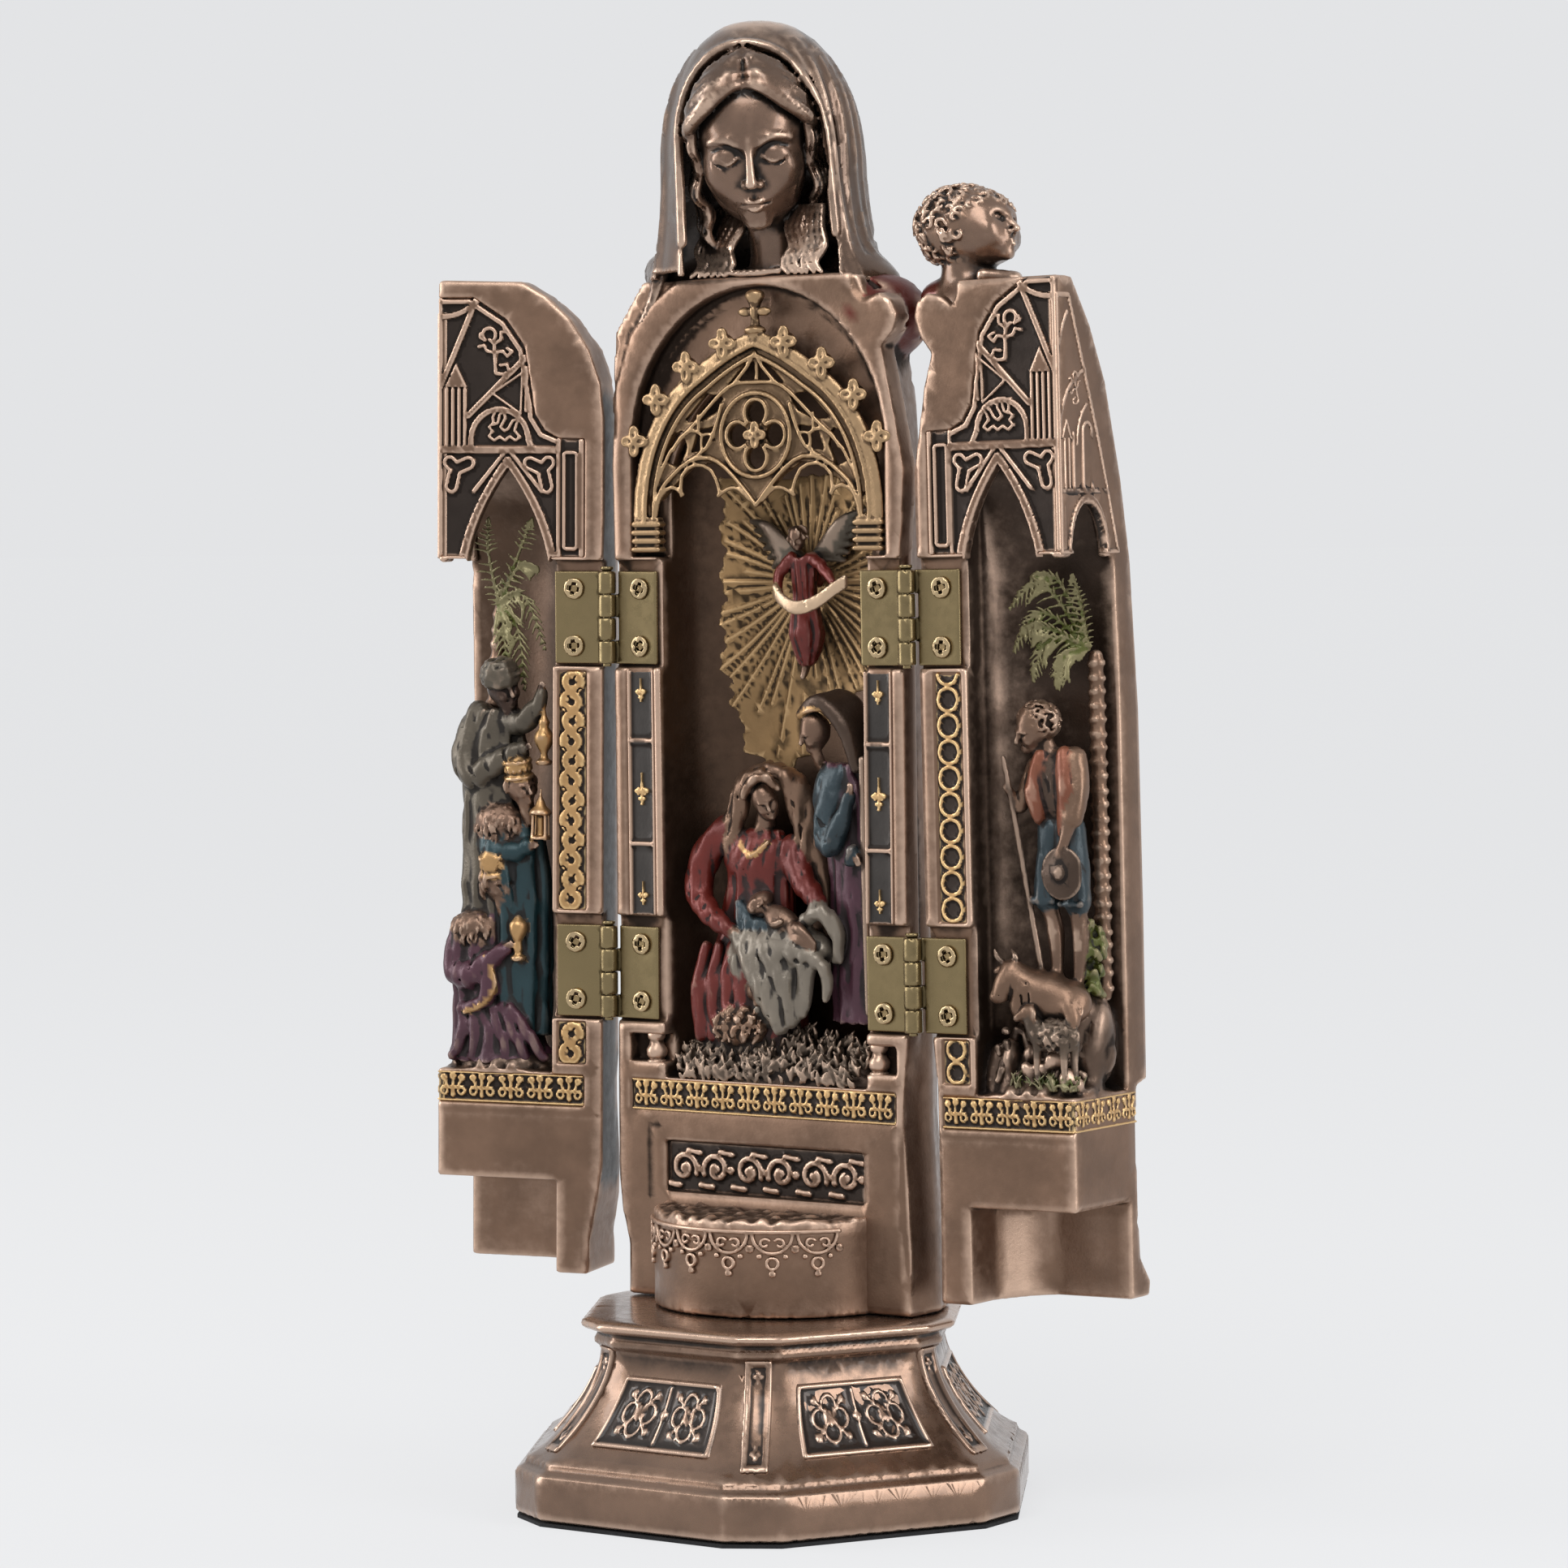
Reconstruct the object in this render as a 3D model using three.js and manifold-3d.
// A triptych altarpiece in cold-cast bronze: a hooded Madonna whose front is two wings
// hung on four brass butt hinges. Open, the wings flank an arched shrine with a Nativity;
// the left wing holds the three kings, the right wing a shepherd with his ox and sheep.
// Millimetres, +Z up, the front faces -Y. The origin is the middle of the underside.
import * as THREE from 'three';
import { mergeVertices } from 'three/addons/utils/BufferGeometryUtils.js';
import Module from 'manifold-3d';

const wasm = await Module();
wasm.setup();

// ---------------------------------------------------------------- driving dimensions
const GAP = 0.3;                 // air left between pieces that touch
const FACE_Y = -2;               // front plane of the shrine
const CENTRE_X = -1.36;          // middle of the shrine's front
const HINGE_HALF = 37.3;         // hinge axis to the middle of the front
const HINGE_TILT = 0.5;          // degrees: the shrine widens downwards, the hinges follow
const AXIS_AHEAD = 0.4;          // the hinge axis stands this far in front of the shrine
const LEFT_SHORT_OF_FLAT = 17;   // degrees: the left wing stands a little forward
const TOP_Z = 300;

const FELT = { height: 0.7, apothem: 50.2 };
const PLINTH = { bottom: 1.0, block: 10.3, step: 13, waist: 34, slab: 37.2, top: 39.5,
                 blockReach: 55.1, stepReach: 52.8, flareFoot: 50.5, waistReach: 36.6,
                 slabReach: 41, faceToCorner: 0.92 };

const SHRINE = { foot: PLINTH.top + GAP, niche: 85, nicheLedge: 192, top: 248.4 };
const BLOCK_FOOT = 62.5;         // underside of the wings' plain block, over the pedestal
const WING_FOOT = 43.1;
const ARCH_FOOT = 191.3;         // underside of the wings' upper, traceried part

const HINGE = { height: 19.1, leaf: 11.8, thick: 0.9, barrel: 1.9, pin: 0.85, knuckles: 4,
                centres: [179.55, 106.45], screwReach: 7.6, screwSpread: 5.9,
                head: 2.2, headHeight: 0.5, shank: 0.8, hole: 1.4, shankLength: 4.5 };
const RECESS = { deep: 1.75, above: 2.1, below: 0.65 };
const PIVOT_Z = (HINGE.centres[0] + HINGE.centres[1]) / 2;

// ---------------------------------------------------------------- solids
const v3 = p => new THREE.Vector3(...p);

// A closed indexed geometry as a solid.
const skin = (geometry, triVerts = geometry.index.array) => new wasm.Manifold(new wasm.Mesh({
  numProp: 3,
  vertProperties: new Float32Array(geometry.attributes.position.array),
  triVerts: new Uint32Array(triVerts),
}));

function solidOf(geometry) {
  const bare = geometry.clone();
  bare.deleteAttribute('normal');
  bare.deleteAttribute('uv');
  return skin(mergeVertices(bare, 1e-4));
}

function geometryOf(solid) {
  const { vertProperties, triVerts } = solid.getMesh();
  const geometry = new THREE.BufferGeometry();
  geometry.setAttribute('position', new THREE.BufferAttribute(vertProperties, 3));
  geometry.setIndex(new THREE.BufferAttribute(triVerts, 1));
  return geometry;
}

// The same solid after a move; a mirroring one turns its faces over again.
function moved(solid, matrix) {
  const geometry = geometryOf(solid).applyMatrix4(matrix);
  const order = Array.from(geometry.index.array);
  return skin(geometry, matrix.determinant() < 0 ? order.reverse() : order);
}

const mirrored = solid => moved(solid, new THREE.Matrix4().makeScale(-1, 1, 1));

const join = (...solids) => solids.flat(3).reduce((sum, next) => sum.add(next));
const cut = (solid, ...cutters) => cutters.flat(3).reduce((rest, next) => rest.subtract(next), solid);

// A solid without the slivers of air that joined pieces shut in.
const whole = solid => solid.decompose().sort((a, b) => b.volume() - a.volume())[0];

const block = ([x0, x1], [y0, y1], [z0, z1]) =>
  solidOf(new THREE.BoxGeometry(x1 - x0, y1 - y0, z1 - z0)
    .translate((x0 + x1) / 2, (y0 + y1) / 2, (z0 + z1) / 2));

// An outline in X and Z, given thickness from y0 back to y1.
function slab(outline, y0, y1, curveSegments = 5) {
  const shape = outline instanceof THREE.Shape ? outline
    : new THREE.Shape(outline.map(([x, z]) => new THREE.Vector2(x, z)));
  return solidOf(new THREE.ExtrudeGeometry(shape, {
    depth: y1 - y0, bevelEnabled: false, curveSegments,
  }).rotateX(Math.PI / 2).translate(0, y1, 0));
}

function ball(centre, [rx, ry, rz], turn = [0, 0, 0], around = 6, down = 4) {
  const geometry = new THREE.SphereGeometry(1, around, down).rotateX(Math.PI / 2)
    .scale(rx, ry, rz).applyMatrix4(new THREE.Matrix4().makeRotationFromEuler(
      new THREE.Euler(...turn.map(THREE.MathUtils.degToRad), 'ZXY')));
  return solidOf(geometry.translate(...centre));
}

function limb(from, to, r0, r1, sides = 5) {
  const a = v3(from);
  const along = v3(to).sub(a);
  const turn = new THREE.Quaternion().setFromUnitVectors(
    new THREE.Vector3(0, 1, 0), along.clone().normalize());
  const middle = a.clone().addScaledVector(along, 0.5);
  return solidOf(new THREE.CylinderGeometry(r1, r0, along.length(), sides)
    .applyQuaternion(turn).translate(...middle.toArray()));
}

// A flat bar through [x, z] points, half its width to each side, from y0 back to y1.
const bar = (points, half, y0, y1) => points.slice(1).map(([x1, z1], i) => {
  const [x0, z0] = points[i];
  const scale = half / Math.hypot(x1 - x0, z1 - z0);
  const [dx, dz] = [(x1 - x0) * scale, (z1 - z0) * scale];
  return slab([[x0 - dx - dz, z0 - dz + dx], [x0 - dx + dz, z0 - dz - dx],
    [x1 + dx + dz, z1 + dz - dx], [x1 + dx - dz, z1 + dz + dx]], y0, y1);
});

// Limbs end to end through a list of points.
const chain = (points, radii, sides = 4) => points.slice(1).map((p, i) =>
  limb(points[i], p, radii[i], radii[i + 1], sides));

// A turned shape standing on the point [x, y]; the profile lists [radius, z] upwards.
const turned = ([x, y], profile, sides = 6) =>
  solidOf(new THREE.LatheGeometry(profile.map(([r, z]) => new THREE.Vector2(r, z)), sides)
    .rotateX(Math.PI / 2).translate(x, y, 0));

// A closed skin over rings of `count` points, listed anticlockwise seen from above;
// place(point, row) gives each one, row 0 at the bottom.
function loft(count, rows, place) {
  const ring = row => Array.from({ length: count }, (_, k) => place(k, row));
  const rings = Array.from({ length: rows + 1 }, (_, row) => ring(row));
  const middle = row => rings[row].reduce((sum, p) => sum.map((v, i) => v + p[i] / count), [0, 0, 0]);
  const geometry = new THREE.CylinderGeometry(1, 1, 1, count, rows);
  const position = geometry.attributes.position;
  for (let i = 0; i < position.count; i += 1) {
    const [x, y, z] = [position.getX(i), position.getY(i), position.getZ(i)];
    const row = Math.round((y + 0.5) * rows);
    const step = Math.round(Math.atan2(x, z) / (2 * Math.PI / count));
    const onAxis = Math.hypot(x, z) < 0.5;
    position.setXYZ(i, ...(onAxis ? middle(row) : rings[row][(step + count) % count]));
  }
  return solidOf(geometry);
}

// Linear interpolation in a list of [at, value] pairs.
function along(list, at) {
  const next = Math.max(1, list.findIndex(([p]) => p >= at));
  const [[p0, v0], [p1, v1]] = list[list.length - 1][0] < at
    ? list.slice(-2) : [list[next - 1], list[next]];
  const share = THREE.MathUtils.clamp((at - p0) / (p1 - p0), 0, 1);
  return v0 + (v1 - v0) * share;
}

// ---------------------------------------------------------------- plinth
// A hexagon with its corners cut: long faces at 0.92 of the reach of the short ones.
function twelveSided(levels) {
  const corner = (k, reach) => {
    const face = i => reach * (i % 2 === 0 ? PLINTH.faceToCorner : 1);
    const at = THREE.MathUtils.degToRad(30 * k - 90);
    const slide = (face(k + 1) - face(k) * Math.cos(Math.PI / 6)) / 0.5;
    return [face(k) * Math.cos(at) - slide * Math.sin(at),
      face(k) * Math.sin(at) + slide * Math.cos(at)];
  };
  return loft(12, levels.length - 1, (k, row) =>
    [...corner(k, levels[row][1]), levels[row][0]]);
}

function flareReach(z) {
  const rise = (z - PLINTH.step) / (PLINTH.waist - PLINTH.step);
  return PLINTH.waistReach + (PLINTH.flareFoot - PLINTH.waistReach) * (1 - rise) ** 1.8;
}

// Four round lobes about a middle, as an outline.
function quatrefoil(radius, lobe) {
  const shape = new THREE.Shape();
  for (let i = 0; i < 4; i += 1) {
    const at = (i * Math.PI) / 2;
    const [x, y] = [radius * Math.cos(at), radius * Math.sin(at)];
    if (i === 0) shape.moveTo(x + lobe * Math.cos(at - 2.2), y + lobe * Math.sin(at - 2.2));
    shape.absarc(x, y, lobe, at - 2.2, at + 2.2, false);
  }
  shape.closePath();
  return shape;
}

function plinthFlower(side, offset) {
  const z = 23;
  const reach = flareReach(z) * PLINTH.faceToCorner;
  const lean = Math.atan((flareReach(z + 3) - flareReach(z - 3)) * PLINTH.faceToCorner / 6);
  const geometry = new THREE.ExtrudeGeometry(quatrefoil(2.4, 2.1),
    { depth: 1.6, bevelEnabled: false, curveSegments: 2 });
  geometry.translate(offset, 0, -1.1).rotateX(Math.PI / 2 + lean)
    .translate(0, -reach, z).rotateZ(side * Math.PI / 3);
  return solidOf(geometry);
}

function plinthStrip(side) {
  const z = 24;
  const lean = Math.atan((flareReach(z + 8) - flareReach(z - 8)) / 16);
  const geometry = new THREE.BoxGeometry(5, 1.6, 19).rotateX(lean)
    .translate(0, -flareReach(z) - 0.4, z).rotateZ(Math.PI / 6 + side * Math.PI / 3);
  return solidOf(geometry);
}

function plinth() {
  const P = PLINTH;
  const flare = Array.from({ length: 5 }, (_, i) => P.step + i * (P.waist - P.step) / 4)
    .map(z => [z, flareReach(z)]);
  const levels = [[P.bottom, P.blockReach - 0.6], [P.bottom + 0.8, P.blockReach],
    [P.block - 0.8, P.blockReach], [P.block, P.blockReach - 1.2],
    [P.block + 0.2, P.stepReach], [P.step - 0.4, P.stepReach - 0.6], ...flare,
    [P.waist + 0.6, P.waistReach + 1.6], [P.slab, P.waistReach + 1.8], [P.slab + 0.4, P.slabReach - 0.5],
    [P.top - 1, P.slabReach], [P.top, P.slabReach - 0.7]];
  const sides = [0, 1, 2, 3, 4, 5];
  const flowers = sides.flatMap(side => [-6.2, 6.2].map(offset => plinthFlower(side, offset)));
  return join(twelveSided(levels), flowers, sides.map(plinthStrip));
}

const feltPad = () => twelveSided([[0, FELT.apothem / PLINTH.faceToCorner],
  [FELT.height, FELT.apothem / PLINTH.faceToCorner]]);

// ---------------------------------------------------------------- shrine: front
const FRONT_OUTLINE = [[-35.5, SHRINE.foot], [34.4, SHRINE.foot], [32.2, 64], [32.6, 77], [34.2, 97],
  [34, 168], [33.3, 190], [34.6, 209], [32.4, 220], [29.5, 233.5], [32.3, 236.4], [33.3, 239.3],
  [31.7, 242.8], [29.2, 244.2], [25.3, 242.6], [23.4, 244.6], [22, SHRINE.top], [-12, SHRINE.top],
  [-20.5, 248], [-27, 243.5], [-32.4, 237.5], [-36.2, 227], [-37.4, 211], [-37, 190], [-37.4, 168],
  [-37.6, 97], [-37.8, 77], [-37.8, 64], [-37, 57], [-35.2, 50]];

const nicheArch = () => {
  const arch = new THREE.Shape();
  arch.moveTo(CENTRE_X - 31.2, SHRINE.nicheLedge).lineTo(CENTRE_X + 31.2, SHRINE.nicheLedge);
  arch.lineTo(CENTRE_X + 31.2, 214);
  arch.absellipse(CENTRE_X, 214, 31.2, 32.4, 0, Math.PI, false);
  arch.closePath();
  return arch;
};

// The shrine's hollow: an upright half-round below the arch, a dome above.
function nicheHollow() {
  const rows = [[SHRINE.niche, 25, 17], [150, 25, 17], [205, 25.4, 17], [222, 25, 15.4],
    [234, 19.5, 12], [241.5, 12, 8]];
  return loft(16, rows.length - 1, (k, row) => {
    const [z, half, deep] = rows[row];
    const turn = Math.PI * k / 15;
    const power = 0.62;
    return k === 0 || k === 15
      ? [CENTRE_X + (k ? -half : half), FACE_Y - 1, z]
      : [CENTRE_X + 0.76 + half * Math.sign(Math.cos(turn)) * Math.abs(Math.cos(turn)) ** power,
        FACE_Y + deep * Math.sin(turn) ** power, z];
  });
}

const stilePanels = () => [-1, 1].flatMap(side => [[119.5, 132.6], [133.9, 153.6], [155, 167.4]]
  .map(([z0, z1]) => block([CENTRE_X + side * 29.3 - 2.9, CENTRE_X + side * 29.3 + 2.9],
    [FACE_Y - 1, FACE_Y + 0.7], [z0, z1])));

const balusterNooks = () => [-1, 1].map(side => block(
  side < 0 ? [-34.4, -24] : [22, 31.6], [FACE_Y - 1, FACE_Y + 4], [88.4, 93.6]));

const balusters = () => [-1, 1].map(side => turned([CENTRE_X + side * 27.6, FACE_Y + 2.4],
  [[0, 87.8], [1.3, 87.8], [2.1, 90.4], [1, 92.2], [1.6, 94], [0, 94]], 6));

const frontCuts = () => [
  block([-33.6, 31], [FACE_Y - 1, FACE_Y + 0.7], [78.4, 84.2]),
  block([-24.9, 23], [FACE_Y - 1, FACE_Y + 1.4], [62, 71.8]),
];

function pedestal() {
  const shape = new THREE.Shape();
  const [half, bulge] = [25.6, 18.5];
  const radius = (half * half + bulge * bulge) / (2 * bulge);
  const open = Math.asin(half / radius);
  shape.absarc(CENTRE_X, FACE_Y - bulge + radius, radius, -Math.PI / 2 - open, -Math.PI / 2 + open);
  shape.lineTo(CENTRE_X + half, FACE_Y + 3).lineTo(CENTRE_X - half, FACE_Y + 3);
  return solidOf(new THREE.ExtrudeGeometry(shape, {
    depth: 60 - SHRINE.foot, bevelEnabled: false, curveSegments: 14,
  }).translate(0, 0, SHRINE.foot));
}

// ---------------------------------------------------------------- shrine: back and bust
// The mantle behind the front: half widths left and right of the middle, and depth, by height.
const MANTLE = [[SHRINE.foot, 34.6, 35.6, 31], [52, 34.4, 35.6, 29], [78, 35.6, 34.2, 27.5],
  [118, 36, 34.2, 29], [160, 35.8, 33.8, 30.5], [200, 35.4, 33.8, 31.5], [224, 36, 32, 31],
  [238, 35, 29, 29.5], [SHRINE.top - 0.4, 28, 25, 27.5]];
const FOLD = 1.3;                // how far the mantle's folds stand out

function mantle() {
  const count = 26;
  return loft(count, MANTLE.length - 1, (k, row) => {
    const [z, left, right, deep] = MANTLE[row];
    if (k === 0) return [CENTRE_X - left + 1.5, FACE_Y + 1, z];
    if (k === count - 1) return [CENTRE_X - left, FACE_Y + 2.2, z];
    if (k === 1) return [CENTRE_X + right - 1.5, FACE_Y + 1, z];
    const turn = Math.PI * (k - 2) / (count - 3) * 0.97;
    const fold = (k % 3 === 0 ? FOLD : -FOLD * 0.4) * Math.sin(turn) ** 0.4;
    const half = Math.cos(turn) > 0 ? right : left;
    const lean = 3 * Math.sin(z / 45);
    return [CENTRE_X + half * Math.sign(Math.cos(turn)) * Math.abs(Math.cos(turn)) ** 0.8
      + lean * Math.sin(turn), FACE_Y + 2.2 + (deep - 2 + fold) * Math.sin(turn) ** 0.85, z];
  });
}

const sleeve = () => ball([22.6, 8.5, 239.6], [10.2, 10.5, 9], [0, 0, 0], 12, 7);

const HEAD = { x: -0.6, y: -1.5, z: 270, yaw: 28, pitch: 20, roll: 6 };

// A point of the head, from its own frame (x to her left, y back, z up) to the shrine's.
function onHead([x, y, z]) {
  const turn = new THREE.Euler(...[HEAD.pitch, HEAD.roll, HEAD.yaw]
    .map(THREE.MathUtils.degToRad), 'ZXY');
  return v3([x, y, z]).applyEuler(turn).add(v3([HEAD.x, HEAD.y, HEAD.z])).toArray();
}

const headBall = (centre, radii, around, down) =>
  ball(onHead(centre), radii, [HEAD.pitch, HEAD.roll, HEAD.yaw], around, down);

// The veil: a hood over the head whose skirts fall to the cut at the shoulders.
const VEIL = [[246, 24, 20, 4], [252, 22.5, 20, 5], [262, 21, 20.5, 5.5], [274, 19.8, 20.5, 5.5],
  [285, 17.6, 19, 5.4], [293, 13, 15, 5.4], [297.8, 7.6, 9, 5.6], [TOP_Z, 2.4, 3, 6]];

function veil() {
  const count = 20;
  return loft(count, VEIL.length - 1, (k, row) => {
    const [z, half, deep, y] = VEIL[row];
    const turn = 2 * Math.PI * k / count;
    const fold = row < 6 && k % 2 ? 0.8 : 0;
    const x = CENTRE_X - 1.6 + (262 - z) * -0.02;
    return [x + (half + fold) * Math.cos(turn), y + (deep + fold) * Math.sin(turn), z];
  });
}

function bust() {
  const opening = join(
    headBall([0, -13, 1], [13.4, 17, 19.5], 10, 6),
    ball([1.5, -15, 250], [13.5, 19, 13], [0, 0, 20], 10, 6));
  const face = join(
    headBall([0, 0, 0], [10.6, 12.6, 15.5], 10, 7),
    headBall([0, -4.6, -8], [7.6, 8.4, 8.6], 9, 6),
    limb(onHead([0, -12.2, 2.6]), onHead([0, -15, -3.4]), 0.9, 1.9, 5));
  const hair = [-1, 1].flatMap(side => [
    headBall([side * 6, -4.4, 8.6], [6.4, 6.2, 6.8], 8, 5),
    ...chain([[side * 10.6, -5, 4], [side * 11.8, -3, -3], [side * 10.4, -3, -9], [side * 12, -1, -15]]
      .map(onHead), [2.2, 2.4, 2, 1.6], 5)]);
  const curls = [[-13, 250, -1], [-17, 249.6, 0], [-9.5, 249.2, 1], [10, 249.6, 0], [14, 250.4, 1]]
    .map(([x, z, tilt]) => limb([x, 4, z + 7], [x + tilt, 0.6, z - 1], 2.2, 1.8, 5));
  const neck = limb([-0.5, 6.5, 244], [0.4, 1.5, 262], 6.6, 5.8, 10);
  const chest = ball([-2, 7, 246], [19, 9, 6.5], [0, 0, 0], 12, 6);
  const childNear = ball([CENTRE_X + HINGE_HALF - 11.6, FACE_Y - 11, 256.6], [15, 11.6, 13.4],
    [0, 0, 0], 10, 6);
  return cut(join(cut(veil(), opening), face, hair, neck, chest, curls), childNear,
    block([-60, 60], [-60, 60], [200, SHRINE.top - 1]), block([-60, 60], [-60, FACE_Y], [200, 250]));
}

// ---------------------------------------------------------------- shrine: Nativity
const head = (at, r = 3) => ball(at, [r, r, r * 1.25]);

function kneelingMary() {
  return [head([-2.9, 3.4, 141.8], 3), ball([-3.6, 5.4, 142.8], [5.2, 4.6, 6.4], [0, 12, 0]),
    ball([-8, 6.6, 132], [10.5, 6, 7.5]), ball([-7, 6.4, 122], [9.5, 6, 11]),
    ball([-8, 6.4, 106], [13, 6.6, 11]),
    ...chain([[-18.6, 4.6, 134], [-19.4, 3, 123.6], [-9, 0.8, 116]], [2.9, 2.6, 1.7]),
    ...chain([[2, 6, 132], [6.4, 4, 125], [10.4, 2.4, 122]], [2.8, 2.4, 1.7]),
    limb([5, 9, 138], [5, 9.5, 112], 2.6, 3.6)];
}

function joseph() {
  return [head([8.6, 4, 156.6], 3.2), ball([13.5, 6.6, 157.5], [7.6, 6, 7], [0, -14, 0]),
    limb([9.6, 3.2, 154], [10.8, 2.4, 149.6], 2.4, 1),
    turned([17.6, 8], [[0, 98], [8, 98], [7, 120], [7.6, 136], [5.6, 151], [0, 156]]),
    ...chain([[14, 4.4, 146], [13.6, 1.8, 135], [20, 0.2, 145]], [3, 3, 1.6]),
    limb([22, 1.2, 150], [22.4, 2, 100], 0.9, 0.9, 5)];
}

function childOnCloth() {
  return [head([-3, 0.9, 122.2], 2.4), ball([3, 2, 118.6], [6.4, 3, 3.6], [0, 22, 0]),
    ball([1, 4, 112], [10.4, 4.4, 7], [0, 20, 0]),
    ...chain([[-6, 0.6, 114.5], [-2, -0.4, 107], [3.6, 0, 97]], [2.6, 3.8, 3]),
    ...chain([[5, 0.8, 113], [13.4, 0.4, 111], [13, 0.6, 102]], [3.2, 2.8, 1.4])];
}

function angel() {
  const wingAt = (side, x, z) => ball([x, 12.6, z], [8.4, 1.8, 3.8], [0, side * 34, 0], 7, 4);
  return [head([1.9, 9, 196.2], 2.2),
    limb([2.6, 10, 186], [2.6, 17, 184], 2, 2, 4),
    turned([2.6, 10.6], [[0, 168], [1.4, 170], [3.8, 177], [2.6, 186], [3.8, 192], [0, 195.6]]),
    wingAt(1, -4.6, 193.6), wingAt(-1, 9.4, 195.4),
    ...chain([[-0.2, 9.4, 192], [-1.4, 7.4, 187], [0.4, 5.4, 183.6]], [1.3, 1.2, 0.9], 5),
    ...chain([[5.4, 9.4, 192], [9.4, 7.4, 189.6], [15, 5.4, 185.8]], [1.3, 1.2, 0.8], 5),
    ...chain([[-0.4, 5.2, 184.4], [7, 3.8, 181.6], [15.6, 4.8, 185.4]], [1.6, 1.8, 1.5], 4)];
}

const lamb = () => [head([-4, 1.2, 103.6], 2.2), ball([-8.6, 2.6, 96.4], [6, 3.4, 4.6])];

function straw() {
  const count = 14;
  return loft(count, 4, (k, row) => {
    const turn = 2 * Math.PI * k / count;
    const rise = row / 4;
    const ragged = 1 + 0.1 * Math.sin(k * 5.1 + row * 2.3);
    const swell = Math.sqrt(1 - (rise * 0.86) ** 2) * ragged;
    return [CENTRE_X + 26.4 * swell * Math.cos(turn), FACE_Y + 10 + 11.6 * swell * Math.sin(turn),
      84 + 14.5 * rise * (1 + 0.1 * Math.sin(k * 2.7))];
  }).subtract(block([-60, 60], [-30, FACE_Y - 0.4], [60, 120]));
}

const nativity = () => [...kneelingMary(), ...joseph(), ...childOnCloth(), ...angel(), ...lamb(), straw()];

// Gold rays on the shrine's back wall, fanning from behind the angel.
function rays() {
  const centre = new THREE.Vector3(3, 0, 192);
  return [-50, -15, 20, 55, 90, 125, 160, 195, 230].map((degrees) => {
    const turn = THREE.MathUtils.degToRad(degrees);
    const reach = degrees > 200 ? 46 : 26 + 6 * Math.sin(turn);
    const x = THREE.MathUtils.clamp(centre.x + Math.cos(turn) * reach, -20, 19);
    return limb([centre.x, 15.8, centre.z], [x, 15.4, centre.z + Math.sin(turn) * reach], 1.2, 1.7, 3);
  });
}

// ---------------------------------------------------------------- hinge seats
// Recesses and screw holes for the leaves on one side of an axis at x; out is the
// direction of the leaves, +1 or -1, and face the plane that they are sunk into.
function hingeSeats([x, out], face, reach) {
  const span = (near, far) => [x + out * near, x + out * far].sort((a, b) => a - b);
  const floor = face + RECESS.deep;
  const at = x + out * HINGE.screwReach;
  return HINGE.centres.flatMap(z => [
    block(span(-2, reach), [face - 3, floor],
      [z - HINGE.height / 2 - RECESS.below, z + HINGE.height / 2 + RECESS.above]),
    ...[-1, 1].map((up) => {
      const height = z + up * HINGE.screwSpread;
      return limb([at, floor - 0.5, height], [at, floor + HINGE.shankLength, height],
        HINGE.hole, HINGE.hole, 4);
    })]);
}

function shrine() {
  const front = slab(FRONT_OUTLINE, FACE_Y, FACE_Y + 6);
  const hollow = join(nicheHollow(), slab(nicheArch(), FACE_Y - 1, FACE_Y + 4.4, 12));
  const shell = join(cut(join(front, mantle()), hollow, frontCuts(), stilePanels(), balusterNooks()),
    pedestal(), sleeve());
  const clear = join(shell, bust(), balusters(), nativity(), rays());
  const seats = [-1, 1].map(side =>
    hingeSeats([CENTRE_X + side * HINGE_HALF, -side], FACE_Y, 15));
  return cut(clear, seats, block([-90, 90], [-90, 90], [0, SHRINE.foot]));
}

// ---------------------------------------------------------------- gilt tracery
// Half of an ogee arch over the middle, from its foot at [half, foot] to its tip.
const ogee = (half, foot, tip) => Array.from({ length: 8 }, (_, i) => {
  const turn = (i / 7) * (Math.PI / 2);
  const point = 3.2 * Math.max(0, i / 7 - 0.72) / 0.28;
  return [half * Math.cos(turn) ** 0.9, foot + (tip - 3.2 - foot) * Math.sin(turn) ** 0.95 + point];
});

const acrossMiddle = half => [...half, ...half.slice(0, -1).reverse().map(([x, z]) => [-x, z])];
const pathOf = points => new THREE.Path(points.map(([x, z]) => new THREE.Vector2(x, z)));
const mirroredPath = points => pathOf(points.map(([x, z]) => [-x, z]));

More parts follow.
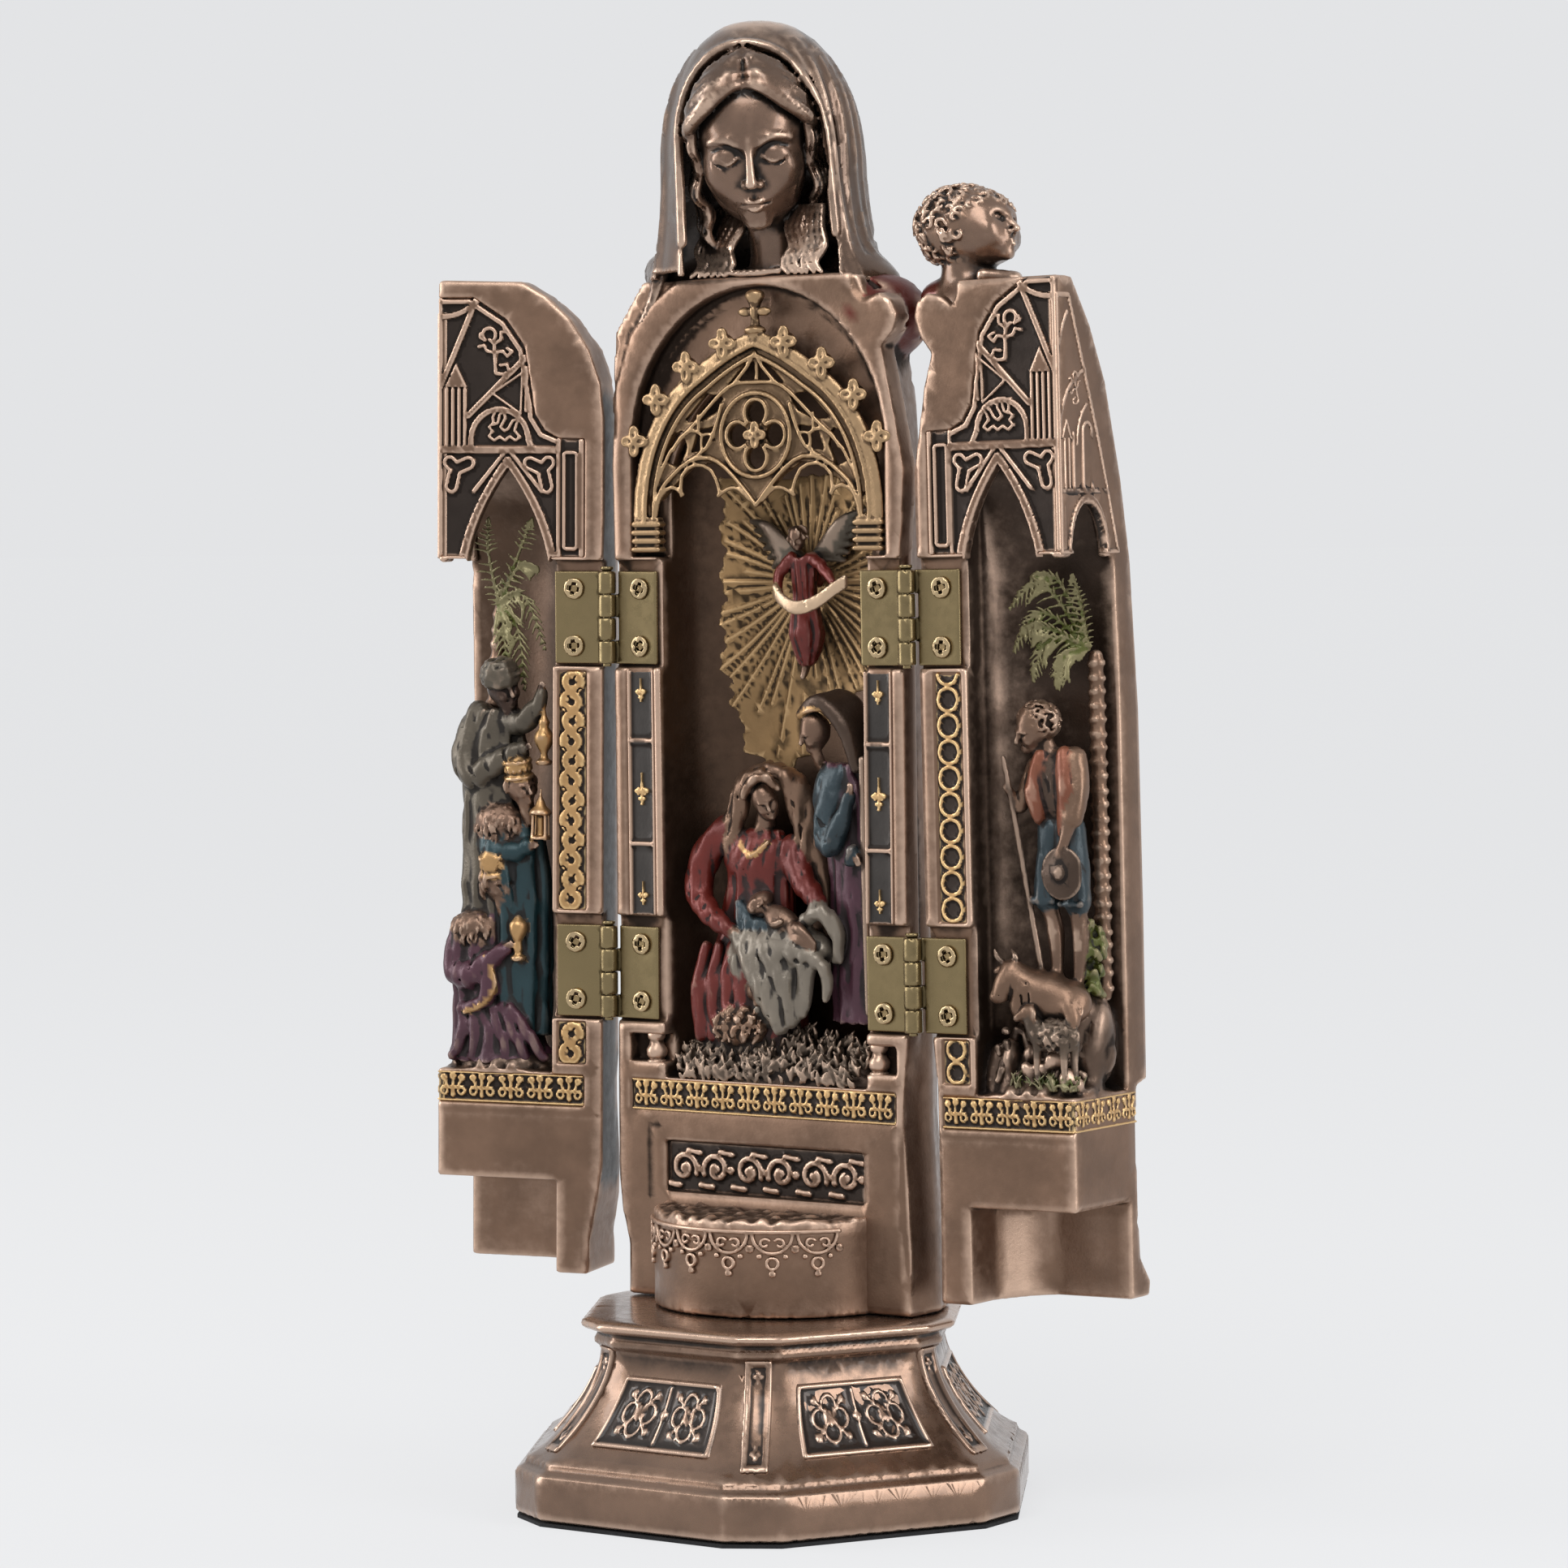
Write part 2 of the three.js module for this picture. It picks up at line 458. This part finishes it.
// The pierced screen: a pointed arch with cusped edge, a rose of four lights and mouchettes.
function screen() {
  const shape = new THREE.Shape(acrossMiddle(ogee(30, 199.8, 237)).map(p => new THREE.Vector2(...p)));
  const opening = [[25.2, 200.6], [23.6, 207], [19.4, 206], [16.6, 209.6], [12.4, 210.8], [7.6, 208.4],
    [5.4, 205.2], [2.2, 205.8], [0, 202.4]];
  const mouchettes = [
    [[24.4, 210.4], [20.4, 209.6], [16, 213.4], [10.6, 214.4], [10.6, 217.4], [16.4, 217], [22, 214.4]],
    [[22.4, 217.4], [16, 219.4], [9.6, 220.6], [7.8, 223.4], [13, 224.6], [18.6, 222.8]],
    [[14.4, 226.8], [7.4, 225.8], [3.6, 227], [1.4, 231], [5, 231.6]]];
  const light = i => Array.from({ length: 6 }, (_, k) => {
    const turn = (k * Math.PI) / 3;
    const [away, across] = [4.7 + 2.2 * Math.cos(turn), 2.5 * Math.sin(turn)];
    const [c, s] = [Math.cos(i * Math.PI / 2), Math.sin(i * Math.PI / 2)];
    return [away * c - across * s, 216.6 + away * s + across * c];
  });
  shape.holes = [...mouchettes.map(pathOf), ...mouchettes.map(mirroredPath),
    ...[0, 1, 2, 3].map(i => pathOf(light(i)))];
  const below = acrossMiddle(opening).concat([[-25.2, 190], [25.2, 190]]);
  return cut(slab(shape, FACE_Y + 0.8, FACE_Y + 2.6), slab(below, FACE_Y, FACE_Y + 3));
}

function tracery() {
  const [front, back] = [FACE_Y + 0.3, FACE_Y + 2.6];
  const middle = (front + back) / 2;
  const outer = acrossMiddle(ogee(30.4, 199.8, 237.6));
  const inner = acrossMiddle(ogee(27, 199.8, 233.8)).reverse();
  const crockets = [-1, 1].flatMap(side => [[7, 234], [16, 229.4], [23.4, 224], [28, 216.2]]
    .map(([x, z]) => limb([side * x, front - 0.2, z], [side * x, back, z], 2.2, 2.4)));
  const finial = turned([0, middle], [[0, 234], [1.3, 234], [2.3, 237.4], [1, 239.6],
    [2.4, 242], [1, 243.4], [1.8, 244.8], [0, 245.2]]);
  const capitals = [-1, 1].map(side => block(
    side < 0 ? [-30.6, -23.6] : [23.6, 30.6], [front - 0.2, back + 0.4], [192.6, 200.6]));
  return join(slab([...outer, ...inner], front, back), screen(), crockets, finial, capitals,
    limb([0, front, 216.6], [0, back, 216.6], 1.7, 1.7));
}

// ---------------------------------------------------------------- wings
// A wing is drawn lying flat beside the shrine: X outwards from the hinge axis, Y back
// from the axis, Z up. Its face is AXIS_AHEAD behind the axis.
const WING_DEPTH = [[WING_FOOT, 27.6], [46, 28.2], [51, 24.6], [62, 24], [85.4, 24.4], [86.6, 28.4],
  [120, 28.8], [160, 28.6], [190, 26.6], [206, 23.8], [225, 18.8], [236, 13.6], [246, 6.6], [250, 4.6]];
const EDGE_DEPTH = [[WING_FOOT, 11], [58, 11.5], [80, 7.5], [120, 6.5], [190, 6.5], [225, 6], [250, 4]];
const NICHE_DEPTH = [[85, 20.6], [160, 21], [190, 19.6], [203, 15], [211, 6]];

function wingBlank(end) {
  const levels = WING_DEPTH.map(([z]) => z);
  const curve = 8;
  return loft(curve + 3, levels.length - 1, (k, row) => {
    const z = levels[row];
    const [deep, edge] = [along(WING_DEPTH, z), along(EDGE_DEPTH, z)];
    if (k === 0) return [1, 0, z];
    if (k === 1) return [end, 0, z];
    const turn = (Math.PI / 2) * (k - 2) / curve;
    const fold = k > 3 && k < curve + 1 ? 0.7 * (k % 2 ? 1 : -1) : 0;
    return [end - (end - 1) * Math.sin(turn), edge + (deep - edge) * Math.cos(turn) + fold, z];
  });
}

// The niche: its back wall curves from the stile to its full depth at the open end.
function wingNiche(end, stile) {
  const levels = NICHE_DEPTH.map(([z]) => z);
  const curve = 7;
  return loft(curve + 3, levels.length - 1, (k, row) => {
    const [z, deep] = NICHE_DEPTH[row];
    if (k === 0) return [stile, -3, z];
    if (k === 1) return [end + 3, -3, z];
    const turn = (Math.PI / 2) * (k - 2) / curve;
    const edge = Math.min(5.6, deep);
    return [end + 3 - (end + 3 - stile) * Math.sin(turn), edge + (deep - edge) * Math.cos(turn), z];
  });
}

// What closes the niche's top: the face over it, pierced by a pointed arch.
function wingArch(end, [springIn, springOut], apex) {
  const shape = new THREE.Shape();
  const middle = (springIn + springOut) / 2;
  shape.moveTo(springIn, 180).lineTo(springIn, 190);
  shape.quadraticCurveTo(springIn + 1.5, 200, middle, apex);
  shape.quadraticCurveTo(springOut - 1.5, 200, springOut, 190).lineTo(springOut, 180);
  const face = [[0, ARCH_FOOT], [end + 1, ARCH_FOOT], [end + 1, 216], [0, 216]];
  return cut(slab(face, 0, 3), slab(shape, -1, 4, 6));
}

// The wall across the open end above the niche, with a round-headed window.
const endWindow = end => cut(block([end - 2, end + 1], [0, 40], [190.4, 216]),
  limb([end - 4, 11, 191], [end + 4, 11, 191], 6.2, 6.2, 10),
  block([end - 4, end + 4], [4.8, 17.2], [180, 191]),
  ball([end, 11, 192], [6, 6, 10.4], [0, 0, 0], 10, 6));

const sunk = (outline, deep = 0.7) => slab(outline, -1, AXIS_AHEAD + deep);

function traceryField(end) {
  const field = [[7.4, 213.2], [end - 0.8, 213.2], [end - 0.8, 242], [20.6, 244.4], [16.4, 240],
    [13.6, 234], [13, 226], [11.6, 219.6], [8.8, 216.4]];
  const ribs = [
    bar([[end - 13, 245], [end - 0.4, 223]], 0.7, 0, 2),
    bar([[13.6, 234], [end - 11.6, 220.4]], 0.7, 0, 2),
    bar([[17.6, 212], [17.8, 218.6], [21.2, 222], [24.6, 218.6], [24.8, 212]], 0.6, 0, 2),
    bar([[end - 7.4, 212], [end - 7.2, 222], [end - 5.6, 226], [end - 4, 222], [end - 3.8, 212]],
      0.6, 0, 2)];
  return cut(sunk(field), ribs);
}

const spandrels = (springIn, springOut, apex) => [
  sunk([[springIn - 1.4, 211.6], [springIn + 6, 211.6], [springIn - 0.6, 201]]),
  sunk([[springOut + 1, 211.6], [springOut - 5.6, 211.6], [springOut + 0.4, 201]])]
  .map(hole => hole.subtract(block([-1, 60], [-2, 2], [apex + 1.6, 260])));

function wingRecess(end, legWidth) {
  const shape = new THREE.Shape();
  const reach = 20.6;
  shape.moveTo(legWidth, -3).lineTo(end + 3, -3).lineTo(end + 3, reach);
  shape.lineTo(end - 4, reach - 0.4);
  shape.quadraticCurveTo(legWidth + 4, reach - 3, legWidth, 7);
  return solidOf(new THREE.ExtrudeGeometry(shape, {
    depth: BLOCK_FOOT - WING_FOOT + 5, bevelEnabled: false, curveSegments: 8,
  }).translate(0, 0, WING_FOOT - 5));
}

function wingBody({ end, outline, stile, arch, apex, legWidth }) {
  const blank = wingBlank(end).intersect(slab(outline, AXIS_AHEAD, 40));
  const cuts = [wingRecess(end, legWidth),
    sunk([[stile - 7.4, 87], [stile - 1.2, 87], [stile - 1.2, 95.6], [stile - 7.4, 95.6]]),
    sunk([[stile - 7.4, 119], [stile - 1.2, 119], [stile - 1.2, 168.4], [stile - 7.4, 168.4]]),
    sunk([[5.6, 78.4], [end - 1.2, 78.4], [end - 1.2, 84], [5.6, 84]]),
    sunk([[6.4, 194.4], [8.2, 194.4], [8.2, 211.4], [6.4, 211.4]])];
  const closing = join(wingArch(end, arch, apex), endWindow(end)).intersect(blank);
  const carved = join(cut(blank, wingNiche(end, stile)), closing);
  return cut(carved, cuts, traceryField(end), spandrels(...arch, apex));
}

function palm(crown, foot, tips, radius) {
  const trunk = limb(foot, crown, radius * 1.1, radius * 0.8, 7);
  const fronds = tips.map(([x, y, z]) => {
    const middle = [(x + crown[0]) / 2, (y + crown[1]) / 2 - 0.6, (z + crown[2]) / 2 + 2];
    const length = Math.hypot(x - crown[0], z - crown[2]) / 2 + 1;
    const slope = THREE.MathUtils.radToDeg(Math.atan2(z - crown[2], x - crown[0]));
    return ball(middle, [length, 1.3, 2.6], [0, -slope, 0], 7, 4);
  });
  return [trunk, ...fronds];
}

function standingKing() {
  return [head([25.2, 5.2, 164.8], 3.2), ball([27, 6, 168.6], [4.4, 4.2, 3.4], [0, 8, 0]),
    turned([28.4, 8.6], [[0, 98], [8, 98], [7.4, 130], [7.2, 150], [4.6, 161], [0, 167]], 8),
    ...chain([[24, 5.6, 157.6], [19, 3.4, 157], [15.4, 2.6, 164.6]], [2.8, 2.2, 1.4]),
    ...chain([[29, 4.6, 155], [27.4, 3, 148.6], [18, 2.4, 152.6]], [3.4, 3.2, 1.7]),
    turned([15.6, 2.6], [[0, 148.6], [1.8, 148.6], [0.6, 151], [2, 154.6], [1.4, 157], [0.9, 160], [0.9, 164], [0, 164]], 6)];
}

function crownedKing() {
  return [head([20.6, 4.4, 144], 2.8),
    limb([21.2, 4.6, 145.4], [21.4, 4.6, 150.2], 2.8, 3.1, 7),
    ball([25, 5, 136.6], [5.4, 4.6, 5.4]),
    turned([21.8, 7.6], [[0, 92], [7, 92], [6.4, 116], [6.6, 130], [0, 136]], 8),
    ...chain([[26, 4, 131.6], [17.4, 2.6, 132.4]], [2.6, 1.6]),
    turned([16, 2.4], [[0, 133.4], [2.2, 133.4], [1.8, 139], [2.5, 139.4], [0, 143.6]], 6)];
}

function kneelingKing() {
  return [head([26, 3.6, 123.6], 3), limb([26.6, 3.8, 125], [26.9, 3.8, 130.6], 3, 3.3, 7),
    limb([25.4, 3, 121.6], [23.8, 2.2, 116.8], 2.4, 0.8, 6),
    ball([30.4, 5, 115.4], [5.6, 4.6, 4.6]), ball([30.6, 5.6, 106], [7, 5.2, 10], [0, 6, 0], 8, 5),
    ball([26.6, 5, 94.6], [10.6, 4.6, 8]),
    ...chain([[32, 3.2, 111], [28, 2, 104], [22, 1.8, 111.6]], [3, 2.8, 1.5]),
    turned([20.7, 1.9], [[0, 108], [1.5, 108], [0.6, 109.6], [1.9, 113], [1.2, 115.6], [0, 117]], 7)];
}

function leftFigures() {
  return [...standingKing(), ...crownedKing(), ...kneelingKing(),
    ball([25, 9, 87], [12.6, 9, 5], [0, 0, 0], 9, 4),
    ...palm([28.4, 11.6, 181], [30.8, 12, 150],
      [[17.6, 11, 174], [21, 11.6, 164], [19.4, 10, 190], [21, 9.6, 199], [31, 11, 196]], 2)];
}

function shepherd() {
  return [head([24.4, 9.4, 156.2], 3.1), ball([25.4, 9.8, 158.8], [3.9, 3.6, 3.4]),
    limb([26.8, 10.4, 149], [24.6, 9.8, 156], 2, 1.7),
    ball([28.6, 10.2, 146], [5.4, 3.6, 8]),
    ...chain([[24, 9.6, 149.4], [21.8, 9, 141], [19.4, 7.6, 145.4]], [2, 1.8, 1.4]),
    ...chain([[33.2, 10, 150], [34, 9.6, 141], [31, 7.4, 131]], [2.2, 1.9, 1.2]),
    limb([18.6, 7.6, 151], [25, 8.4, 109.4], 0.7, 0.7, 5),
    ...chain([[27, 10, 138.6], [25.6, 9.6, 123.2], [28, 9.6, 109]], [3.6, 2.8, 1.2]),
    ...chain([[31, 10.2, 138.6], [33, 10.2, 122.4], [32.4, 10.8, 108]], [3.6, 2.8, 1.2]),
    ball([32.6, 6.9, 129.6], [5.2, 1.7, 5.4], [0, 0, 8])];
}

function livestock() {
  return [ball([24.6, 7.4, 105], [8.4, 4.6, 4.8]), ball([32, 8, 104.4], [4.6, 4, 4.6]),
    limb([24, 6.4, 106.6], [18, 4.4, 109.4], 2.8, 1.6),
    limb([17.4, 5, 111.6], [15.4, 4.6, 114.6], 0.8, 0.5, 4),
    ball([30.4, 3.8, 97.4], [5.8, 2.8, 3.3]), ball([23.6, 2.4, 101.4], [2.4, 1.5, 1.7], [0, 24, 0]),
    limb([26.4, 3.2, 97.6], [24.6, 2.6, 101.6], 2, 1.4, 6),
    ...[[26.6, 2.8], [28, 5], [33.6, 2.8], [34.6, 4.6]].map(([u, v]) =>
      limb([u, v, 96.6], [u, v, 86], 1, 0.8, 5))];
}

function rightFigures() {
  return [...shepherd(), ...livestock(),
    ball([28.4, 14, 95], [10.6, 9, 13], [0, 0, 0], 9, 5), ball([17.4, 6, 90], [4.6, 4.6, 7]),
    ball([25, 9, 85], [13, 10, 2.8], [0, 0, 0], 9, 4),
    ball([32.8, 17, 111], [3, 3, 7.4]),
    ...palm([33.6, 17.4, 171], [33.4, 18, 104],
      [[17.4, 12.6, 180], [19, 12.6, 171], [24, 13, 185.4], [31.4, 13, 186.4], [26, 13, 166]], 2.1)];
}

const LEFT_WING = { end: 37.9, stile: 12.6, arch: [13.4, 31.6], apex: 210.4, legWidth: 11.5,
  outline: [[4.4, WING_FOOT], [37.9, WING_FOOT], [37.9, 248.4], [37.2, 249], [19.4, 248.6],
    [14, 245.6], [8.9, 241], [4.9, 234.9], [2.3, 227.8], [1.5, 220], [1.5, 200], [1.8, 190],
    [1.5, 168], [1.5, 66], [2.3, 60], [4.2, 50]] };
const RIGHT_WING = { end: 36.2, stile: 13.3, arch: [13.6, 30.6], apex: 209.4, legWidth: 11.5,
  outline: [[4.2, WING_FOOT], [36.2, WING_FOOT], [36.2, 245.6], [13.4, 245.6], [13.2, 242.6],
    [12.1, 240.8], [9.6, 242.7], [6.4, 243.5], [3.9, 241.8], [3.2, 238.8], [4.6, 234.8], [7.1, 231.5],
    [5.2, 225], [4, 218], [2.3, 208], [2.4, 190], [2.4, 118], [3.4, 96], [4.3, 88], [4.3, 60]] };

function childBust() {
  return cut(join(
    ball([8.6, 10.4, 257], [10.6, 9.2, 8.8], [0, -12, 0], 10, 6),
    ball([14.6, 10.4, 253.4], [6.4, 6, 6.4], [0, -24, 0], 8, 5),
    limb([18.8, 10.4, 256.8], [20.6, 10.4, 254.4], 0.8, 1.4),
    limb([10.4, 10.4, 243], [10.2, 10.4, 251], 6.4, 5.4, 8),
    ball([13, 9.6, 237], [10.4, 8.2, 10], [0, 0, 0], 10, 6)),
  block([-10, 40], [-10, AXIS_AHEAD], [200, 280]));
}

// Nothing of a wing passes its face or the plane in which the wings meet.
const wingLimits = ({ end }) => [block([-5, 60], [-30, AXIS_AHEAD], [0, 300]),
  block([end, 80], [-30, 60], [0, 400])];

// A wing leans by the tilt of its axis, which the axis leans by once more: that is what
// makes it stand upright when shut. The hinge leaves are let in square to the axis.
function hungWing(form, solid) {
  const lean = new THREE.Matrix4().makeTranslation(0, 0, PIVOT_Z)
    .multiply(new THREE.Matrix4().makeRotationY(THREE.MathUtils.degToRad(-HINGE_TILT)))
    .multiply(new THREE.Matrix4().makeTranslation(0, 0, -PIVOT_Z));
  return cut(moved(cut(solid, wingLimits(form)), lean),
    hingeSeats([0, 1], AXIS_AHEAD, form.stile + 1));
}

const leftWing = () => mirrored(hungWing(LEFT_WING, join(wingBody(LEFT_WING), leftFigures())));
const rightWing = () => hungWing(RIGHT_WING, join(wingBody(RIGHT_WING), rightFigures(), childBust()));

// ---------------------------------------------------------------- hinges
// A leaf lies to +X of the axis; its knuckles are those with the given remainder.
function leaf(own) {
  const { height, leaf: reach, thick, barrel, pin, knuckles } = HINGE;
  const plate = block([0, reach], [barrel - thick, barrel], [-height / 2, height / 2]);
  const pitch = height / knuckles;
  const knuckle = k => limb([0, 0, -height / 2 + k * pitch + (k ? GAP / 2 : 0)],
    [0, 0, -height / 2 + (k + 1) * pitch - (k < knuckles - 1 ? GAP / 2 : 0)], barrel, barrel, 6);
  const clear = k => block([-3, barrel + GAP], [-3, 3],
    [-height / 2 + k * pitch - GAP / 2, -height / 2 + (k + 1) * pitch + GAP / 2]);
  const all = [0, 1, 2, 3];
  const mine = all.filter(k => k % 2 === own);
  const others = all.filter(k => k % 2 !== own);
  const holes = [-1, 1].map(side => limb([HINGE.screwReach, -2, side * HINGE.screwSpread],
    [HINGE.screwReach, 4, side * HINGE.screwSpread], HINGE.shank + GAP, HINGE.shank + GAP, 4));
  return cut(join(cut(plate, others.map(clear)), mine.map(knuckle)),
    limb([0, 0, -height], [0, 0, height], pin + GAP, pin + GAP, 6), holes);
}

const hingePin = () => join(
  limb([0, 0, -HINGE.height / 2 - 0.6], [0, 0, HINGE.height / 2 + 0.6], HINGE.pin, HINGE.pin, 6),
  limb([0, 0, HINGE.height / 2 + GAP], [0, 0, HINGE.height / 2 + 1.1], 1.4, 1.2, 5));

function screw() {
  const top = HINGE.barrel - HINGE.thick;
  return join(
    limb([0, top - GAP - HINGE.headHeight, 0], [0, top - GAP, 0], HINGE.head * 0.75, HINGE.head, 6),
    limb([0, top - GAP - 0.2, 0], [0, top + HINGE.thick + HINGE.shankLength - 1, 0],
      HINGE.shank, HINGE.shank, 4));
}

// ---------------------------------------------------------------- assembly
const material = (color, roughness, metalness) =>
  new THREE.MeshStandardMaterial({ color, roughness, metalness });
const MATERIALS = {
  bronze: material(0x7a5f50, 0.42, 0.75),
  gilt: material(0xb08a4e, 0.38, 0.85),
  brass: material(0x8f7f4a, 0.35, 0.9),
  felt: material(0x141414, 0.95, 0),
};

const altarpiece = new THREE.Group();

function add(name, solid, look, parent = altarpiece) {
  const mesh = new THREE.Mesh(geometryOf(whole(solid)), MATERIALS[look]);
  mesh.name = name;
  parent.add(mesh);
  return mesh;
}

// The hinge axis of one side, half way up: it leans outwards towards the foot.
function axisGroup(side, opening) {
  const group = new THREE.Group();
  group.position.set(CENTRE_X + side * HINGE_HALF, FACE_Y - AXIS_AHEAD, PIVOT_Z);
  group.rotation.set(0, ...[-side * HINGE_TILT, opening].map(THREE.MathUtils.degToRad), 'YZX');
  altarpiece.add(group);
  return group;
}

function addWing(name, side, opening, solid) {
  const swing = axisGroup(side, opening);
  add(name, solid, 'bronze', swing).position.setZ(-PIVOT_Z);
  return swing;
}

function addHinges(side, sideName, still, moving) {
  HINGE.centres.forEach((z, level) => {
    const at = `${sideName}_${level ? 'lower' : 'upper'}_hinge`;
    const facing = (own, out) => (out < 0 ? mirrored(leaf(own)) : leaf(own));
    const shrineLeaf = add(`${at}_shrine_leaf`, facing(0, -side), 'brass', still);
    const wingLeaf = add(`${at}_wing_leaf`, facing(1, side), 'brass', moving);
    const pin = add(`${at}_pin`, hingePin(), 'brass', still);
    [shrineLeaf, wingLeaf, pin].forEach(mesh => mesh.position.setZ(z - PIVOT_Z));
    [[still, 'shrine', -side], [moving, 'wing', side]].forEach(([parent, body, out]) =>
      [-1, 1].forEach((up) => {
        const name = `${at}_${body}_screw_${up > 0 ? 'top' : 'bottom'}`;
        add(name, screw(), 'brass', parent).position.set(out * HINGE.screwReach, 0,
          z - PIVOT_Z + up * HINGE.screwSpread);
      }));
  });
}

add('felt_pad', feltPad(), 'felt');
add('plinth', plinth(), 'bronze');
add('shrine', shrine(), 'bronze');
add('gilt_tracery', tracery(), 'gilt').position.setX(CENTRE_X);
const leftSwing = addWing('left_wing', -1, LEFT_SHORT_OF_FLAT, leftWing());
const rightSwing = addWing('right_wing', 1, 0, rightWing());
addHinges(-1, 'left', axisGroup(-1, 0), leftSwing);
addHinges(1, 'right', axisGroup(1, 0), rightSwing);

export default altarpiece;
